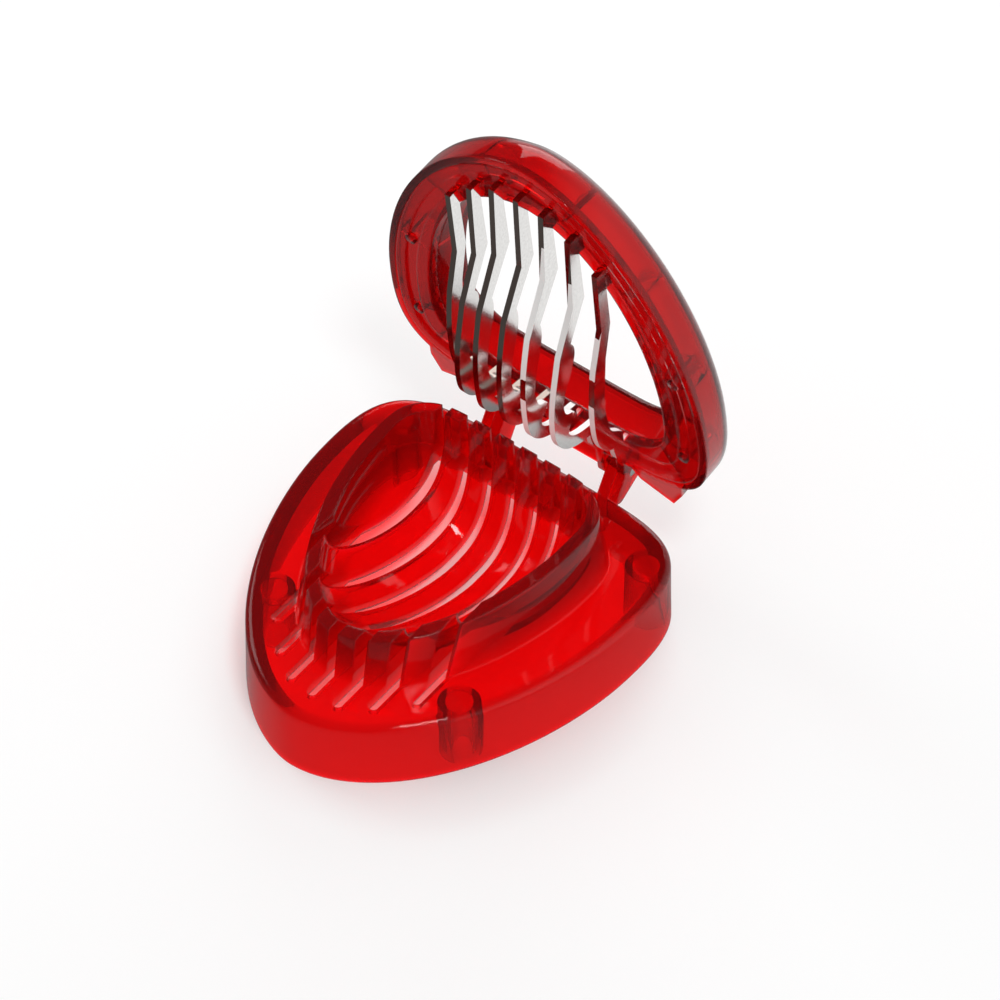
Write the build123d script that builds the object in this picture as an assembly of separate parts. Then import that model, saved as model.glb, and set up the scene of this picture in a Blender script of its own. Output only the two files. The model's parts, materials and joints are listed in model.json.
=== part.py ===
from build123d import *
import math
import os

os.makedirs("parts", exist_ok=True)

# Overall sizes, millimetres. X runs along the hinge, the pointed end looks to -Y, Z is up.
base_width = 75.0
base_length = 78.8
deck_height = 15.3
lid_top_height = 25.8
open_angle = 81.7

# Berry curves: share of the length at the widest point, then power and root of the curve
# from there to the hinge end, and power and root from there to the pointed end
BODY_PLAN = (0.27, 3.0, 0.19, 1.8, 0.55)
BOWL_PLAN = (0.21, 3.5, 0.17, 1.8, 0.55)
BOWL_KEEL = (0.25, 3.0, 0.28, 1.5, 0.78)
outline_steps = 10

# Base tray: an upturned dish, open underneath
wall_bottom = 1.8
wall_top = 3.3
wall_flare = 0.5
deck_thickness = 1.9
deck_edge_radius = 1.4

# Fruit cradle standing on the deck and hanging through it, its ends as shares of the length
rim_height_hinge = 28.4
rim_height_tip = 26.4
bowl_rim_level = 27.0
bowl_depth = 24.8
bowl_half_width = 21.9
bowl_hinge_share = 0.146
bowl_tip_share = 0.7995
cradle_wall = 2.2
bowl_skin = 1.7
side_flare = 3.0
tip_flare = 1.9
hinge_flare = 0.7
bowl_mouth_draft = 0.12

# Tube bosses under the deck
boss_diameter = 8.2
boss_bore = 5.3
boss_front_x = 22.4
boss_front_share = 0.716
boss_rear_x = 30.4
boss_rear_share = 0.109
boss_recess = 0.4

# Slots and blades
blade_count = 7
blade_pitch = 5.6
blade_thickness = 0.9
blade_clearance = 0.04
slot_width = 2.0
slot_end_margin = 0.8
strip_width = 3.4
tab_height = 1.9
tab_setback = 0.5
tab_end_play = 0.2
tip_drop = 2.3
heel_drop = 3.1

# Blade shapes by distance from the middle blade: share of the length, height over the table
BLADE_TIP = [0.920, 0.911, 0.8655, 0.7905]
BLADE_BEND = [(0.6955, 11.9), (0.693, 11.6), (0.636, 12.1), (0.5875, 12.9)]
BLADE_SLOPE = [(0.561, 5.6), (0.5535, 5.4), (0.510, 6.9), (0.4645, 9.8)]
BLADE_LOW = [(0.4125, 2.6), (0.4125, 2.6), (0.3745, 3.9), (0.345, 8.3)]
BLADE_HEEL = [1.7, 1.8, 2.9, 8.0]
blade_rear = 0.070
blade_foot = 0.107
blade_heel = 0.119
blade_root = 0.145

# Heel of the cutting edge: share of the length, share of the climb to the foot
HEEL_CURVE = [(0.279, 0.0), (0.211, 0.06), (0.160, 0.33), (0.132, 0.68)]
# Inner edge of the blade with its hump: share of the length, height over the heel
HUMP_CURVE = [
    (0.175, 6.4), (0.194, 4.6), (0.220, 3.8), (0.236, 4.5), (0.2475, 5.8),
    (0.263, 6.3), (0.278, 5.5), (0.289, 4.1), (0.310, 3.4),
]
# Inner edge of the two outer blades, which have no hump
PLAIN_CURVE = [(0.1675, 6.3), (0.193, 4.6), (0.235, 3.8), (0.310, 3.5)]

# Lid
lid_gap = 0.3
lid_wall = 1.6
lid_inner_wall = 1.5
lid_roof = 1.8
lid_edge_radius = 5.2
lid_mouth_radius = 1.2
opening_clearance = 0.75
ring_thickness = 2.2
ring_clearance = 0.12
ring_groove_depth = 0.5
ring_groove_inset = 2.3
ring_groove_width = 2.6
rib_thickness = 1.1
rib_length = 30.0
post_diameter = 2.4
post_clearance = 0.03
post_shares = (0.4645, 0.175)

# Hinge
hinge_back = 5.94
hinge_height = 18.46
pin_diameter = 2.4
pin_length = 6.4
pin_centre_x = 13.3
pin_press = 0.01
pin_play = 0.08
lug_width = 2.4
lug_radius = 2.9
prong_width = 1.8
prong_gap = 0.3
prong_radius = 2.9
heel_reach = 5.9
heel_angle = 51.8
heel_radius = 1.4
panel_thickness = 1.8
panel_reach = 5.0
wing_inner_x = 18.4
wing_shoulder_x = 20.6
wing_tip_x = 28.3
wing_outer_x = 30.5
wing_reach = 4.2
wing_lift = 0.1

half_length = base_length / 2
half_width = base_width / 2
hollow_top = deck_height - deck_thickness
bowl_floor = bowl_rim_level - bowl_depth
rim_top = max(rim_height_hinge, rim_height_tip) + 1.0
lid_base = deck_height + lid_gap
ring_top = lid_base + ring_thickness
hinge_y = half_length + hinge_back
overrun = 1.0


def along(share):
    """Y of a point at a share of the length from the hinge edge to the tip."""
    return half_length - share * base_length


def berry_width(share, form):
    """Share of the full half width at a share of a berry's length."""
    widest, hinge_power, hinge_root, tip_power, tip_root = form
    if share < widest:
        return (1 - ((widest - share) / widest) ** hinge_power) ** hinge_root
    return (1 - ((share - widest) / (1 - widest)) ** tip_power) ** tip_root


def berry_outline(form):
    """Half outline from the tip round to the hinge edge, both on the mirror line."""
    widest, hinge_power, hinge_root, tip_power, tip_root = form
    half = []
    for i in range(2 * outline_steps + 1):
        across = math.sin(math.pi * i / (2 * outline_steps))
        if i in (0, 2 * outline_steps):
            across = 0.0
        if i < outline_steps:
            share = widest + (1 - widest) * (1 - across ** (1 / tip_root)) ** (1 / tip_power)
        else:
            share = widest - widest * (1 - across ** (1 / hinge_root)) ** (1 / hinge_power)
        half.append((across * half_width, along(share)))
    return half


def mirrored(half):
    """Close a half outline that starts and ends on the mirror line."""
    return half + [(-x, y) for x, y in reversed(half[1:-1])]


def normals(points):
    """Outward directions at the points of a loop."""
    count = len(points)
    out = []
    for i in range(count):
        ax, ay = points[i - 1]
        bx, by = points[(i + 1) % count]
        run = math.hypot(bx - ax, by - ay)
        out.append(((by - ay) / run, -(bx - ax) / run))
    return out


def moved(points, side, tip=None, rear=None):
    """Points moved outward, by different amounts at the sides, the tip and the hinge end."""
    tip = side if tip is None else tip
    rear = side if rear is None else rear
    out = []
    for (x, y), (nx, ny) in zip(points, normals(points)):
        end = rear if ny > 0 else tip
        step = side * nx * nx + end * ny * ny
        out.append((x + nx * step, y + ny * step))
    return out


def loop(points, z):
    """Smooth closed line through points at a height."""
    return Wire([Edge.make_spline([Vector(x, y, z) for x, y in points], periodic=True)])


def slab(points, low, high):
    """Upright solid inside a loop."""
    return Solid.extrude(Face(loop(points, low)), Vector(0, 0, high - low))


def skin(sections, ruled):
    """Solid through loops at rising heights."""
    return Solid.make_loft([loop(points, z) for points, z in sections], ruled)


def bar(diameter, low, high, x, y):
    """Upright round bar."""
    align = (Align.CENTER, Align.CENTER, Align.MIN)
    return Pos(x, y, low) * Cylinder(diameter / 2, high - low, align=align)


def bowl_drop(x, y, grow):
    """How far the bowl lies below its rim level, for the bowl grown outward by a skin."""
    rear = along(bowl_hinge_share) + grow
    front = along(bowl_tip_share) - grow
    share = (rear - y) / (rear - front)
    if share <= 0 or share >= 1:
        return -1.0
    reach = bowl_half_width * berry_width(share, BOWL_PLAN) + grow
    if abs(x) >= reach:
        return -1.0
    middle = bowl_depth * berry_width(share, BOWL_KEEL) + grow
    return middle * math.sqrt(1 - (x / reach) ** 2)


def bowl_level(z, grow, rays=20):
    """Level line of the bowl at a height."""
    drop = bowl_rim_level - z
    rear = along(bowl_hinge_share) + grow
    span = rear - along(bowl_tip_share) + grow
    steps = 400
    places = [rear - span * i / steps for i in range(1, steps)]
    inside = [y for y in places if bowl_drop(0.0, y, grow) > drop]
    centre = (inside[0] + inside[-1]) / 2
    half = []
    for i in range(rays + 1):
        angle = math.pi * i / rays
        sx = math.sin(angle) if 0 < i < rays else 0.0
        sy = -math.cos(angle)
        near = 0.0
        far = span
        for _ in range(50):
            middle = (near + far) / 2
            if bowl_drop(sx * middle, centre + sy * middle, grow) > drop:
                near = middle
            else:
                far = middle
        half.append((sx * near, centre + sy * near))
    return mirrored(half)


rim_inside = bowl_level(bowl_rim_level - 0.01, 0.0)
rim_outside = moved(rim_inside, cradle_wall)


def cradle_loop(extra, z):
    """Drafted outside of the cradle at a height, moved outward by an extra amount."""
    share = (rim_top - z) / (rim_top - deck_height)
    return moved(
        rim_outside,
        extra + side_flare * share,
        extra + tip_flare * share,
        extra + hinge_flare * share,
    )


def cradle_outer(extra, low, high):
    """Solid inside the drafted outside of the cradle between two heights."""
    return skin([(cradle_loop(extra, z), z) for z in (low, high)], True)


def single(shape):
    """The one solid of a finished piece."""
    return shape.solids().sort_by(SortBy.VOLUME)[-1]


def plate(points, thickness, x):
    """Flat plate in the YZ plane, centred on x."""
    edge = Polyline([(x - thickness / 2, y, z) for y, z in points], close=True)
    return Solid.extrude(Face(Wire(edge.edges())), Vector(thickness, 0, 0))


def rod(diameter, length, x, y, z):
    """Round bar along X, centred on a point."""
    return Pos(x, y, z) * Rot(0, 90, 0) * Cylinder(diameter / 2, length)


def tangent(ay, az, ar, by, bz, br, side):
    """Outer tangent points of two circles, on the side given by the sign."""
    span = math.hypot(by - ay, bz - az)
    lean = math.atan2(bz - az, by - ay) + side * math.acos((ar - br) / span)
    cy = math.cos(lean)
    cz = math.sin(lean)
    return (ay + ar * cy, az + ar * cz), (by + br * cy, bz + br * cz)


def strap(ay, az, ar, by, bz, br, thickness, x):
    """Two round ends joined by their tangents."""
    first = tangent(ay, az, ar, by, bz, br, 1)
    second = tangent(ay, az, ar, by, bz, br, -1)
    body = plate([first[0], first[1], second[1], second[0]], thickness, x)
    return body + rod(2 * ar, thickness, x, ay, az) + rod(2 * br, thickness, x, by, bz)


def slot_x(index):
    """X of a blade and its slot."""
    return (index - (blade_count - 1) / 2) * blade_pitch


def rank(index):
    """Distance of a blade from the middle one, counted in blades."""
    return min(len(BLADE_TIP) - 1, int(abs(index - (blade_count - 1) / 2) + 0.5))


# Base: tray with its top edge rounded, hollow from below
outline = mirrored(berry_outline(BODY_PLAN))
tray = skin([(moved(outline, wall_flare), 0.0), (outline, deck_height)], True)
tray = tray.fillet(deck_edge_radius, [tray.edges().sort_by(Axis.Z)[-1]])
hollow_foot = moved(outline, wall_flare - wall_bottom)
hollow = skin([(hollow_foot, -overrun), (moved(outline, -wall_top), hollow_top)], True)
base = tray - hollow

# Base: tube bosses under the deck, trimmed to the outside of the tray
boss_spots = []
for side in (1, -1):
    boss_spots.append((side * boss_front_x, along(boss_front_share)))
    boss_spots.append((side * boss_rear_x, along(boss_rear_share)))
for x, y in boss_spots:
    base += bar(boss_diameter, boss_recess, hollow_top + deck_thickness / 2, x, y) & tray

# Base: bowl skin below the deck, cradle wall above it, boss bores, then the bowl itself
skin_floor = bowl_floor - bowl_skin
skin_levels = [skin_floor + step for step in (0.1, 0.8, 2.1, 4.1, 7.1, 10.9)]
skin_levels.append(deck_height - deck_thickness / 3)
base += skin([(bowl_level(z, bowl_skin), z) for z in skin_levels], False)
base += cradle_outer(0.0, deck_height - deck_thickness / 2, rim_top)
for x, y in boss_spots:
    base -= bar(boss_bore, 0.0, hollow_top, x, y)
bowl_levels = [bowl_floor + step for step in (0.1, 0.7, 2.0, 4.4, 7.8, 12.2, 17.2, 21.6)]
bowl_sections = [(bowl_level(z, 0.0), z) for z in bowl_levels]
bowl_sections.append((rim_inside, bowl_rim_level))
bowl_sections.append((moved(rim_inside, bowl_mouth_draft), rim_top + overrun))
base -= skin(bowl_sections, False)

# Base: the rim slopes down gently from the hinge end to the tip
rim_slope = (rim_height_hinge - rim_height_tip) / (bowl_tip_share - bowl_hinge_share)
above = 2 * rim_top
trim_points = [
    (along(-1), rim_height_hinge + rim_slope * (1 + bowl_hinge_share)),
    (along(2), rim_height_tip - rim_slope * (2 - bowl_tip_share)),
    (along(2), above),
    (along(-1), above),
]
base -= plate(trim_points, 2 * base_width, 0)

# Base: hinge lugs behind the hinge edge
hinge_axis = Axis((0, hinge_y, hinge_height), (1, 0, 0))
for side in (1, -1):
    x = side * pin_centre_x
    lug = strap(hinge_y, hinge_height, lug_radius, half_length, deck_height / 2, lug_radius, lug_width, x)
    base += lug - tray
    base -= rod(pin_diameter + 2 * pin_play, lug_width + overrun, x, hinge_y, hinge_height)

# Base: one slot per blade, right through the deck, the cradle and the bowl
for i in range(blade_count):
    x = slot_x(i)
    front = along(BLADE_TIP[rank(i)]) - slot_end_margin + slot_width / 2
    rear = along(blade_rear) + slot_end_margin - slot_width / 2
    cut = Pos(x, (rear + front) / 2, rim_top / 2) * Box(slot_width, rear - front, 2 * rim_top)
    cut += bar(slot_width, -rim_top, 2 * rim_top, x, front)
    cut += bar(slot_width, -rim_top, 2 * rim_top, x, rear)
    base -= cut

# Lid shell, drawn closed: a domed ring with a rounded mouth
opening = cradle_outer(opening_clearance, lid_base - overrun, lid_top_height + overrun)
dome = slab(outline, lid_base, lid_top_height)
dome = dome.fillet(lid_edge_radius, [dome.edges().sort_by(Axis.Z)[-1]])
solid_ring = single(dome - opening)
crown = solid_ring.faces().filter_by(Plane.XY).sort_by(Axis.Z)[-1]
mouth_edge = sorted(crown.edges(), key=lambda e: e.length)[0]
solid_ring = solid_ring.fillet(lid_mouth_radius, [mouth_edge])


def crossing(points, value, across, last):
    """Where a loop crosses a line of fixed X (or fixed Y when across is set), first or last."""
    found = []
    for a, b in zip(points, points[1:] + points[:1]):
        here = a[across] - value
        there = b[across] - value
        if here * there <= 0 and here != there:
            found.append(a[1 - across] + (b[1 - across] - a[1 - across]) * here / (here - there))
    return max(found) if last else min(found)


# Lid shell: the hollow between the walls, less the stiffening ribs and the posts
inside = moved(outline, -lid_wall)
void = slab(inside, lid_base - overrun, lid_top_height - lid_roof)
void = void.fillet(lid_edge_radius - lid_wall, [void.edges().sort_by(Axis.Z)[-1]])
void -= cradle_outer(opening_clearance + lid_inner_wall, ring_top, lid_top_height + overrun)
rib_height = lid_top_height - ring_top
directions = normals(outline)
for i in range(2, 2 * outline_steps - 4, 3):
    px, py = outline[i]
    turn = math.degrees(math.atan2(directions[i][1], directions[i][0]))
    for side in (1, -1):
        rib = Rot(0, 0, turn if side > 0 else 180 - turn) * Box(rib_length, rib_thickness, rib_height)
        void -= Pos(side * px, py, ring_top + rib_height / 2) * rib
mouth = cradle_loop(opening_clearance, lid_base)
post_spots = []
for share in post_shares:
    y = along(share)
    x = (crossing(mouth, y, 1, True) + crossing(outline, y, 1, True)) / 2
    post_spots += [(x, y), (-x, y)]
for x, y in post_spots:
    void -= bar(post_diameter, lid_base, lid_top_height, x, y)
shell = solid_ring - void

# Lid shell: hinge prongs with heels, the plate between them, and the leaf-like wings
core = slab(moved(outline, -lid_wall / 2), 0, 2 * lid_top_height)
prong_step = lug_width / 2 + prong_gap + prong_width / 2
heel_y = hinge_y + heel_reach * math.cos(math.radians(heel_angle))
heel_z = hinge_height - heel_reach * math.sin(math.radians(heel_angle))
knuckle = (hinge_y, hinge_height, prong_radius)
root = (half_length, lid_base + prong_radius, prong_radius)
for side in (1, -1):
    for step in (-prong_step, prong_step):
        x = side * (pin_centre_x + step)
        prong = strap(*knuckle, *root, prong_width, x)
        if step > 0:
            prong += strap(*knuckle, heel_y, heel_z, heel_radius, prong_width, x)
        shell += prong - core
wing_low = lid_base + wing_lift
panel_width = 2 * (pin_centre_x - prong_step)
panel = Box(panel_width, 2 * panel_reach, panel_thickness)
shell += Pos(0, half_length, wing_low + panel_thickness / 2) * panel - core
for side in (1, -1):
    leaf = Polyline(
        (side * wing_inner_x, half_length - wing_reach, wing_low),
        (side * wing_inner_x, half_length, wing_low),
        (side * wing_shoulder_x, half_length + wing_reach / 2, wing_low),
        (side * wing_tip_x, half_length + wing_reach, wing_low),
        (side * wing_outer_x, half_length, wing_low),
        (side * wing_outer_x, half_length - 2 * wing_reach, wing_low),
        close=True,
    )
    wing = Solid.extrude(Face(Wire(leaf.edges())), Vector(0, 0, panel_thickness))
    shell += wing - core
for side in (1, -1):
    reach = pin_length + 2 * overrun
    shell -= rod(pin_diameter + 2 * pin_press, reach, side * pin_centre_x, hinge_y, hinge_height)

# Blade ring: flat plate that closes the lid toward the base and carries the blades
ring_edge = lid_wall + ring_clearance
groove_outer = ring_edge + ring_groove_inset
groove_inner = groove_outer + ring_groove_width
groove_top = lid_base + ring_groove_depth
ring = slab(moved(outline, -ring_edge), lid_base, ring_top) - opening
groove = slab(moved(outline, -groove_outer), lid_base - overrun, groove_top)
ring -= groove - slab(moved(outline, -groove_inner), lid_base - 2 * overrun, ring_top)
for x, y in post_spots:
    ring -= bar(post_diameter + 2 * post_clearance, lid_base - overrun, ring_top + overrun, x, y)


def smooth(points, x):
    """Smooth edge through points given as share of the length and height."""
    return Edge.make_spline([Vector(x, along(share), z) for share, z in points])


def straight(points, x):
    """Straight edges through points given as share of the length and height."""
    corners = [Vector(x, along(share), z) for share, z in points]
    return [Edge.make_line(a, b) for a, b in zip(corners, corners[1:])]


def share_at(y):
    """Share of the length at a Y, the reverse of along."""
    return (half_length - y) / base_length


def blade(index):
    """One stamped strip with its tip tab, bent cutting edge, heel and hinge-side tab."""
    j = rank(index)
    x = slot_x(index) - blade_thickness / 2
    top = lid_base
    tab_top = lid_base + tab_height
    heel = BLADE_HEEL[j]
    foot_z = top - heel_drop
    tip = BLADE_TIP[j]
    tab_end = tip - tab_setback / base_length
    tip_edge = share_at(crossing(mouth, slot_x(index), 0, False) - tab_setback)
    rear_edge = share_at(crossing(mouth, slot_x(index), 0, True) + tab_setback)
    slope = BLADE_SLOPE[j]
    low = BLADE_LOW[j]
    tip_end = (tip, top - tip_drop)
    root_point = (blade_root, top)
    cutting = [(share, heel + climb * (foot_z - heel)) for share, climb in HEEL_CURVE]
    cutting = [slope, low] + cutting + [(blade_heel, foot_z)]
    foot_edge = [cutting[-1], (blade_foot, foot_z), (blade_rear, top - heel_drop + tab_setback)]
    rear_tab = [(blade_rear, tab_top), (rear_edge, tab_top), (rear_edge, top), root_point]
    inner = HUMP_CURVE if j < len(BLADE_TIP) - 1 else PLAIN_CURVE
    inner = [(share, heel + rise) for share, rise in inner]
    low_inner = (low[0], low[1] + strip_width)
    slope_inner = (slope[0] + tab_setback / strip_width / 10, slope[1] + strip_width)
    tip_tab = [
        slope_inner,
        (BLADE_BEND[j][0], top),
        (tip_edge, top),
        (tip_edge, tab_top),
        (tab_end, tab_top),
        (tab_end, top),
        (tip, top),
        tip_end,
    ]
    edges = straight([tip_end, BLADE_BEND[j], slope], x)
    edges.append(smooth(cutting, x))
    edges += straight(foot_edge + rear_tab, x)
    edges.append(smooth([root_point] + inner + [low_inner, slope_inner], x))
    edges += straight(tip_tab, x)
    return Solid.extrude(Face(Wire(edges)), Vector(blade_thickness, 0, 0))


# Blade ring: a pocket at either end of each blade for its tabs
pocket_width = blade_thickness + 2 * blade_clearance
pocket_depth = tab_height + blade_clearance
for i in range(blade_count):
    x = slot_x(i)
    front = along(BLADE_TIP[rank(i)]) + tab_setback - tab_end_play
    rear = along(blade_rear) + tab_end_play
    front_mouth = crossing(mouth, x, 0, False) + overrun
    rear_mouth = crossing(mouth, x, 0, True) - overrun
    for near, far in ((front, front_mouth), (rear_mouth, rear)):
        pocket = Box(pocket_width, far - near, pocket_depth)
        ring -= Pos(x, (near + far) / 2, lid_base + pocket_depth / 2) * pocket

# All pieces, the lid's turned about the hinge from closed to the open pose
closed = {"lid_shell": single(shell), "blade_ring": single(ring)}
for i in range(blade_count):
    closed["blade_%d" % (i + 1)] = blade(i)
for name, side in (("hinge_pin_left", -1), ("hinge_pin_right", 1)):
    closed[name] = single(rod(pin_diameter, pin_length, side * pin_centre_x, hinge_y, hinge_height))
pieces = {"base_tray": single(base)}
for name, piece in closed.items():
    pieces[name] = piece.rotate(hinge_axis, -open_angle)

# The origin lies on the table under the middle of the open slicer
boxes = [piece.bounding_box() for piece in pieces.values()]
origin_y = (min(box.min.Y for box in boxes) + max(box.max.Y for box in boxes)) / 2
print("hinge axis at y %.4f, base middle at y %.4f" % (hinge_y - origin_y, -origin_y))
for name, piece in pieces.items():
    placed = piece.translate((0, -origin_y, 0))
    placed.label = name
    export_step(placed, "parts/%s.step" % name)
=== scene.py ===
import bmesh
import bpy
import json
import math
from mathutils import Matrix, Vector


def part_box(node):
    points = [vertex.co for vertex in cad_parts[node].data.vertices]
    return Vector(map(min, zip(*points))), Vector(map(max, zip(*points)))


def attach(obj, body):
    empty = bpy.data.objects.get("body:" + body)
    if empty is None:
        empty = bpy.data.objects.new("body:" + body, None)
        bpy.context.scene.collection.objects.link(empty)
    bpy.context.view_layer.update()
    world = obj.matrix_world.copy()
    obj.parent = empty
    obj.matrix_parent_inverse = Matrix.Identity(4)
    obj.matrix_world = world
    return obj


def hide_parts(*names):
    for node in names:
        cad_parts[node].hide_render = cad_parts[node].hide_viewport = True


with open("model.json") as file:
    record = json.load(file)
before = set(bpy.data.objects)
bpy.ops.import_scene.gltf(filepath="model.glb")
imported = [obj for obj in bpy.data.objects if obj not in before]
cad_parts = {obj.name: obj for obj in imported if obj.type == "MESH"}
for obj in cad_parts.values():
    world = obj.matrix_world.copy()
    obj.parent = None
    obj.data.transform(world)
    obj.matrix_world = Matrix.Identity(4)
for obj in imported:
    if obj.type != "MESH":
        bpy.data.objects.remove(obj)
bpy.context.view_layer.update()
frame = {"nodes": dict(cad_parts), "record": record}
MM = 0.001
WHITE = (1.0, 1.0, 1.0, 1.0)

# Camera: place and lens worked out from the photograph, in millimetres and degrees
VIEW_AZIMUTH = 37.64
VIEW_ELEVATION = 49.17
VIEW_DISTANCE = 814.0
VIEW_TARGET = (16.42, -2.44, 48.39)
SENSOR_WIDTH = 36.0
LENS = 159.7

# Lid cover: how far the lid stands open at rest, how far the wall at its tip leans back, its widest place
# from the hinge with its half width there, the power of its berry outline, and where between the middle (0)
# and the outline (1) the outer wall begins to lean and leans fully
LID_OPEN = math.radians(81.7)
LID_TIP_LEAN = 2.4 * MM
LID_WIDEST = 27.2 * MM
LID_HALF_WIDTH = 37.5 * MM
OUTLINE_POWER = 1.8
LEAN_BEGINS = 0.77
LEAN_SPAN = 0.17

# Blades: how many, the strip's thickness, how far a face may turn from sideways and still be a rolled face,
# and up to where the painted highlight reaches on the heel of a blade with lit edges
BLADES = 7
STRIP_THICKNESS = 1.25 * MM
ROLLED_FACE = 0.7
HEEL_TOP = 50 * MM

# Reshaped copies: vertices closer than this are one, and a fold sharper than this shows as an edge
WELD = 0.001 * MM
SHARP_FOLD = math.radians(30)

# Plastic: how much of the light the dye takes per metre in each moulding, and the colour it lets through.
# The lid's higher density is painted shade: it is a darker copy of the tray's plastic
TRAY_DYE = 3000.0
LID_DYE_AND_SHADE = 4600.0
DYE_COLOUR = (0.962, 0.0, 0.233, 1.0)

# Studio: the table, the way to its bright side and to the sky's, and the point the lamps aim at
TABLE_SIZE = 6.0
TABLE_TOP = -0.05 * MM
TABLE_BRIGHT_SIDE = (0.707, 0.707, 0.0)
SKY_BRIGHT_SIDE = (0.7, 0.7, -0.6)
LAMP_AIM = (0, 0, 40)

# Lamps: name, place and edge length in millimetres, and power in watts
LAMPS = [
    ("key_softbox", (290, -150, 720), 150, 1.6),
    ("side_softbox", (-520, 40, 420), 300, 0.9),
    ("back_softbox", (-250, 560, 330), 420, 1.7),
]


def linear(hex_colour):
    """An sRGB hex colour as linear red, green, blue and alpha."""
    out = []
    for i in (1, 3, 5):
        c = int(hex_colour[i:i + 2], 16) / 255
        out.append(c / 12.92 if c <= 0.04045 else ((c + 0.055) / 1.055) ** 2.4)
    return out + [1.0]


def add(tree, kind, values=None, links=None, **settings):
    """Adds a node, sets its options and input values, and links outputs of other nodes into it."""
    node = tree.nodes.new(kind)
    for name, value in settings.items():
        setattr(node, name, value)
    for name, value in (values or {}).items():
        node.inputs[name].default_value = value
    for name, source in (links or {}).items():
        tree.links.new(source, node.inputs[name])
    return node


def new_material(name):
    material = bpy.data.materials.new(name)
    material.use_nodes = True
    material.node_tree.nodes.clear()
    return material, material.node_tree


def clear_red_polystyrene(name, density):
    """Moulded crystal polystyrene dyed red: glassy gloss, softened edges, a faint ripple from the mould,
    and a colour that deepens with thickness. Walls this thin hardly shift what is seen through them."""
    material, tree = new_material(name)
    place = add(tree, "ShaderNodeTexCoord")
    ripple = add(tree, "ShaderNodeTexNoise", {"Scale": 1 / (14 * MM), "Detail": 2.0},
                 {"Vector": place.outputs["Object"]})
    soft_edge = add(tree, "ShaderNodeBevel", {"Radius": 0.7 * MM}, samples=6)
    bump = add(tree, "ShaderNodeBump", {"Strength": 0.25, "Distance": 0.12 * MM},
               {"Height": ripple.outputs["Fac"], "Normal": soft_edge.outputs["Normal"]})
    haze = add(tree, "ShaderNodeTexNoise", {"Scale": 1 / (5 * MM), "Detail": 4.0},
               {"Vector": place.outputs["Object"]})
    rough = add(tree, "ShaderNodeMapRange", {"To Min": 0.02, "To Max": 0.07},
                {"Value": haze.outputs["Fac"]})
    surface = add(tree, "ShaderNodeBsdfPrincipled",
                  {"Base Color": linear("#FF3840"), "IOR": 1.12, "Transmission Weight": 0.94,
                   "Coat Weight": 0.5, "Coat Roughness": 0.03, "Coat IOR": 1.5},
                  {"Roughness": rough.outputs["Result"], "Normal": bump.outputs["Normal"],
                   "Coat Normal": bump.outputs["Normal"]})
    depth = add(tree, "ShaderNodeVolumeAbsorption", {"Color": DYE_COLOUR, "Density": density})
    path = add(tree, "ShaderNodeLightPath")
    tinted_shadow = add(tree, "ShaderNodeBsdfTransparent", {"Color": linear("#FFE0E0")})
    mix = add(tree, "ShaderNodeMixShader", None,
              {0: path.outputs["Is Shadow Ray"], 1: surface.outputs["BSDF"],
               2: tinted_shadow.outputs["BSDF"]})
    add(tree, "ShaderNodeOutputMaterial", links={"Surface": mix.outputs["Shader"],
                                                 "Volume": depth.outputs["Volume"]})
    return material


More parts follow.
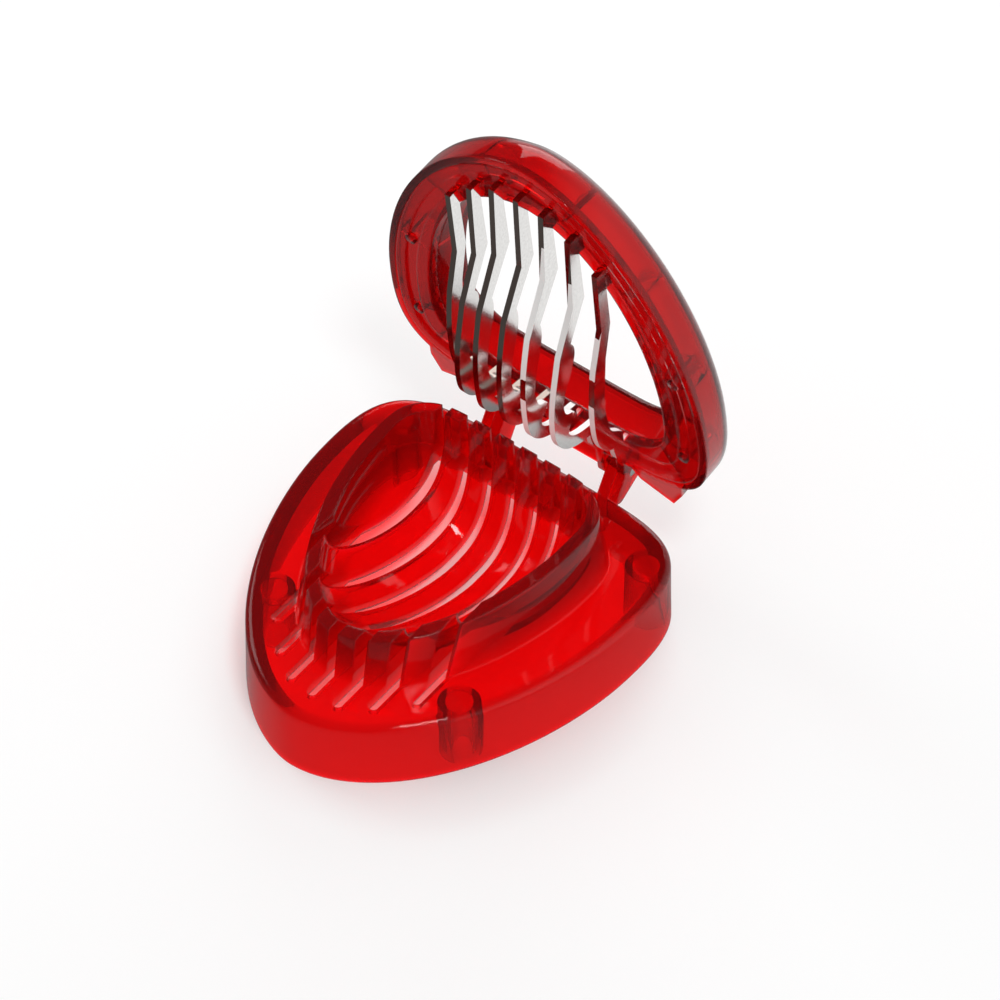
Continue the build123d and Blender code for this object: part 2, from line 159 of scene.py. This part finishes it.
def stamped_stainless(name, lit_edges):
    """Stainless strip, rolled bright and stamped: mirror-like faces with a fine orange peel, and darker
    sheared edges, partly their duller finish and partly painted shade. With lit_edges, the edges that face
    up and forward, and the heel's edges, get a paler, duller painted highlight, as if the key lamp catches
    them."""
    material, tree = new_material(name)
    place = add(tree, "ShaderNodeTexCoord")
    grain = add(tree, "ShaderNodeTexNoise", {"Scale": 1 / (0.5 * MM), "Detail": 3.0},
                {"Vector": place.outputs["Object"]})
    bump = add(tree, "ShaderNodeBump", {"Strength": 0.3, "Distance": 0.02 * MM},
               {"Height": grain.outputs["Fac"]})
    rough = add(tree, "ShaderNodeMapRange", {"To Min": 0.06, "To Max": 0.17},
                {"Value": grain.outputs["Fac"]})
    tone = add(tree, "ShaderNodeMix", {"A": linear("#CFCDCB"), "B": linear("#F0EFED")},
               {"Factor": grain.outputs["Fac"]}, data_type="RGBA")
    facing = add(tree, "ShaderNodeSeparateXYZ", None, {"Vector": place.outputs["Normal"]})
    sideways = add(tree, "ShaderNodeMath", None, {0: facing.outputs["X"]}, operation="ABSOLUTE")
    sheared = add(tree, "ShaderNodeMath", {1: ROLLED_FACE}, {0: sideways.outputs["Value"]},
                  operation="LESS_THAN")
    # Sheared edges painted darker: partly the duller sheared finish, and partly painted shade
    tone = add(tree, "ShaderNodeMix", {"B": linear("#857871")},
               {"Factor": sheared.outputs["Value"], "A": tone.outputs["Result"]}, data_type="RGBA")
    metal = {}
    # Painted highlight: edges that face up and forward, and the heel's edges, are painted paler and made
    # duller, as if lit by the key lamp
    if lit_edges:
        spot = add(tree, "ShaderNodeSeparateXYZ", None, {"Vector": place.outputs["Object"]})
        heel = add(tree, "ShaderNodeMath", {1: HEEL_TOP}, {0: spot.outputs["Z"]}, operation="LESS_THAN")
        raised = add(tree, "ShaderNodeMath", {1: 0.05}, {0: facing.outputs["Z"]},
                     operation="GREATER_THAN")
        front = add(tree, "ShaderNodeMath", {1: -0.3}, {0: facing.outputs["Y"]}, operation="LESS_THAN")
        lower = add(tree, "ShaderNodeMath", None,
                    {0: raised.outputs["Value"], 1: front.outputs["Value"], 2: heel.outputs["Value"]},
                    operation="MULTIPLY_ADD", use_clamp=True)
        pale = add(tree, "ShaderNodeMath", None,
                   {0: sheared.outputs["Value"], 1: lower.outputs["Value"]}, operation="MULTIPLY")
        tone = add(tree, "ShaderNodeMix", {"B": linear("#F8F7F5")},
                   {"Factor": pale.outputs["Value"], "A": tone.outputs["Result"]}, data_type="RGBA")
        rough = add(tree, "ShaderNodeMix", {"B": 0.42},
                    {"Factor": pale.outputs["Value"], "A": rough.outputs["Result"]})
        dulled = add(tree, "ShaderNodeMix", {"A": 1.0, "B": 0.2}, {"Factor": pale.outputs["Value"]})
        metal = {"Metallic": dulled.outputs["Result"]}
    surface = add(tree, "ShaderNodeBsdfPrincipled", {"Metallic": 1.0},
                  {"Base Color": tone.outputs["Result"], "Roughness": rough.outputs["Result"],
                   "Normal": bump.outputs["Normal"], **metal})
    add(tree, "ShaderNodeOutputMaterial", links={"Surface": surface.outputs["BSDF"]})
    return material


def drawn_steel_wire():
    """Drawn steel wire cut to length: darker grey, faint lines along the pin."""
    material, tree = new_material("drawn_steel_wire")
    place = add(tree, "ShaderNodeTexCoord")
    stretch = add(tree, "ShaderNodeMapping", {"Scale": (0.1, 1.0, 1.0)},
                  {"Vector": place.outputs["Object"]})
    lines = add(tree, "ShaderNodeTexNoise", {"Scale": 1 / (0.3 * MM), "Detail": 2.0},
                {"Vector": stretch.outputs["Vector"]})
    rough = add(tree, "ShaderNodeMapRange", {"To Min": 0.25, "To Max": 0.4},
                {"Value": lines.outputs["Fac"]})
    surface = add(tree, "ShaderNodeBsdfPrincipled",
                  {"Base Color": linear("#B4B4B3"), "Metallic": 1.0},
                  {"Roughness": rough.outputs["Result"]})
    add(tree, "ShaderNodeOutputMaterial", links={"Surface": surface.outputs["BSDF"]})
    return material


def dress(material, *names):
    for name in names:
        slots = frame["nodes"][name].data.materials
        slots.clear()
        slots.append(material)


dress(clear_red_polystyrene("clear_red_polystyrene", TRAY_DYE), "base_tray")
# The lid and blade ring take the darker copy, whose extra depth of red is painted shade
dress(clear_red_polystyrene("clear_red_polystyrene_lid", LID_DYE_AND_SHADE), "lid_shell", "blade_ring")
dress(stamped_stainless("stamped_stainless", False), "blade_1", "blade_2", "blade_3", "blade_4")
# These three blades get the painted highlight on their edges
dress(stamped_stainless("stamped_stainless_lit_edges", True), "blade_5", "blade_6", "blade_7")
dress(drawn_steel_wire(), "hinge_pin_left", "hinge_pin_right")


def stand_in(name, node, mesh, shape):
    """Puts a reshaped copy of a lid piece in the place of its CAD node."""
    shape.to_mesh(mesh)
    shape.free()
    mesh.set_sharp_from_angle(angle=SHARP_FOLD)
    piece = bpy.data.objects.new(name, mesh)
    bpy.context.scene.collection.objects.link(piece)
    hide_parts(node)
    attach(piece, "lid")


def merged_copy(node):
    """A node's mesh copied, and a bmesh of it with its loose triangles joined."""
    mesh = frame["nodes"][node].data.copy()
    shape = bmesh.new()
    shape.from_mesh(mesh)
    bmesh.ops.remove_doubles(shape, verts=shape.verts, dist=WELD)
    return mesh, shape


def full_blade(number):
    """A blade at the strip's full thickness, about its own middle."""
    node = "blade_%d" % number
    mesh, shape = merged_copy(node)
    low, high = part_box(node)
    middle = Vector(((low[0] + high[0]) / 2, 0, 0))
    bmesh.ops.translate(shape, verts=shape.verts, vec=-middle)
    bmesh.ops.scale(shape, verts=shape.verts, vec=(STRIP_THICKNESS / (high[0] - low[0]), 1, 1))
    bmesh.ops.translate(shape, verts=shape.verts, vec=middle)
    stand_in("strip_%d" % number, node, mesh, shape)


def leaning_lid():
    """The lid's cover with the wall round its tip leaning back over the roof, as moulded."""
    hinge = Vector(frame["record"]["behaviour"]["joints"][0]["pos_m"])
    mesh, shape = merged_copy("lid_shell")
    along = Vector((0, -math.cos(LID_OPEN), math.sin(LID_OPEN)))
    outward = Vector((0, math.sin(LID_OPEN), math.cos(LID_OPEN)))
    reach = max((v.co - hinge).dot(along) for v in shape.verts)
    levels = [(v.co - hinge).dot(outward) for v in shape.verts
              if (v.co - hinge).dot(along) > reach / 2]
    foot, roof = min(levels), max(levels)
    for v in shape.verts:
        beyond = max(0.0, ((v.co - hinge).dot(along) - LID_WIDEST) / (reach - LID_WIDEST))
        up = max(0.0, ((v.co - hinge).dot(outward) - foot) / (roof - foot))
        to_edge = (abs(v.co.x) / LID_HALF_WIDTH) ** OUTLINE_POWER + beyond ** OUTLINE_POWER
        outer = min(1.0, max(0.0, (to_edge - LEAN_BEGINS) / LEAN_SPAN))
        v.co -= along * LID_TIP_LEAN * outer * beyond ** 2 * up ** 2
    stand_in("lid_cover", "lid_shell", mesh, shape)


leaning_lid()
for number in range(1, BLADES + 1):
    full_blade(number)


def by_ray(tree, light, direct, mirrored, through):
    """A value for rays that only carry light, and others for rays straight from the camera, for
    reflections and for rays through a clear piece. Each is a number or another node's output."""
    path = add(tree, "ShaderNodeLightPath")
    value = light
    for flag, seen in (("Is Camera Ray", direct), ("Is Glossy Ray", mirrored),
                       ("Is Transmission Ray", through)):
        values, links = {}, {"Factor": path.outputs[flag]}
        for socket, source in (("A", value), ("B", seen)):
            (values if isinstance(source, float) else links)[socket] = source
        value = add(tree, "ShaderNodeMix", values, links).outputs["Result"]
    return value


def pale_floor():
    """Plain white table that shows as white, but keeps its shadows, most of all under the part. Bright
    pieces mirror it darker on the near side."""
    material, tree = new_material("white_table")
    place = add(tree, "ShaderNodeTexCoord")
    under_part = add(tree, "ShaderNodeMapping", {"Location": (0.0, 5 * MM, 0.0)},
                     {"Vector": place.outputs["Object"]})
    reach = add(tree, "ShaderNodeVectorMath", None, {0: under_part.outputs["Vector"]},
                operation="LENGTH")
    open_floor = add(tree, "ShaderNodeMapRange",
                     {"From Min": 32 * MM, "From Max": 50 * MM, "To Min": 0.06, "To Max": 0.5},
                     {"Value": reach.outputs["Value"]})
    far_floor = add(tree, "ShaderNodeMapRange",
                    {"From Min": 120 * MM, "From Max": 400 * MM, "To Min": 0.0, "To Max": 0.5},
                    {"Value": reach.outputs["Value"]})
    direct = add(tree, "ShaderNodeMath", None,
                 {0: open_floor.outputs["Result"], 1: far_floor.outputs["Result"]}, operation="ADD")
    bright_side = add(tree, "ShaderNodeVectorMath", {1: TABLE_BRIGHT_SIDE},
                      {0: place.outputs["Object"]}, operation="DOT_PRODUCT")
    mirrored = add(tree, "ShaderNodeMapRange",
                   {"From Min": 45 * MM, "From Max": 72 * MM, "To Min": 0.22, "To Max": 1.0},
                   {"Value": bright_side.outputs["Value"]})
    share = by_ray(tree, 0.0, direct.outputs["Value"], 1.0, 0.7)
    paint = add(tree, "ShaderNodeBsdfDiffuse", {"Color": linear("#FBFBFB")})
    white = add(tree, "ShaderNodeEmission", {"Color": WHITE},
                {"Strength": by_ray(tree, 0.0, 1.0, mirrored.outputs["Result"], 1.0)})
    mix = add(tree, "ShaderNodeMixShader", None,
              {0: share, 1: paint.outputs["BSDF"], 2: white.outputs["Emission"]})
    add(tree, "ShaderNodeOutputMaterial", links={"Surface": mix.outputs["Shader"]})
    return material


def floor():
    bpy.ops.mesh.primitive_plane_add(size=TABLE_SIZE, location=(0, 0, TABLE_TOP))
    table = bpy.context.active_object
    table.name = "table"
    table.data.materials.append(pale_floor())


def studio():
    """White surroundings, darker in reflections from above and in front, and three large soft lamps."""
    world = bpy.data.worlds.new("studio")
    bpy.context.scene.world = world
    world.use_nodes = True
    tree = world.node_tree
    tree.nodes.clear()
    way = add(tree, "ShaderNodeTexCoord")
    bright_side = add(tree, "ShaderNodeVectorMath", {1: SKY_BRIGHT_SIDE},
                      {0: way.outputs["Generated"]}, operation="DOT_PRODUCT")
    mirrored = add(tree, "ShaderNodeMapRange",
                   {"From Min": -0.2, "From Max": 0.5, "To Min": 0.05, "To Max": 1.0},
                   {"Value": bright_side.outputs["Value"]})
    sky = add(tree, "ShaderNodeBackground", {"Color": WHITE},
              {"Strength": by_ray(tree, 0.55, 1.0, mirrored.outputs["Result"], 1.0)})
    add(tree, "ShaderNodeOutputWorld", links={"Surface": sky.outputs["Background"]})
    for name, place, size, power in LAMPS:
        data = bpy.data.lights.new(name, "AREA")
        data.size = size * MM
        data.energy = power
        lamp = bpy.data.objects.new(name, data)
        lamp.location = Vector(place) * MM
        toward = Vector(LAMP_AIM) * MM - lamp.location
        lamp.rotation_euler = toward.to_track_quat("-Z", "Y").to_euler()
        bpy.context.scene.collection.objects.link(lamp)


def camera():
    data = bpy.data.cameras.new("camera")
    data.sensor_width = SENSOR_WIDTH
    data.lens = LENS
    eye = bpy.data.objects.new("camera", data)
    azimuth = math.radians(VIEW_AZIMUTH)
    elevation = math.radians(VIEW_ELEVATION)
    back = Vector((
        math.sin(azimuth) * math.cos(elevation),
        -math.cos(azimuth) * math.cos(elevation),
        math.sin(elevation),
    ))
    eye.location = (Vector(VIEW_TARGET) + back * VIEW_DISTANCE) * MM
    eye.rotation_euler = (-back).to_track_quat("-Z", "Y").to_euler()
    bpy.context.scene.collection.objects.link(eye)
    bpy.context.scene.camera = eye


floor()
studio()
camera()
bpy.context.scene.view_settings.view_transform = "Standard"
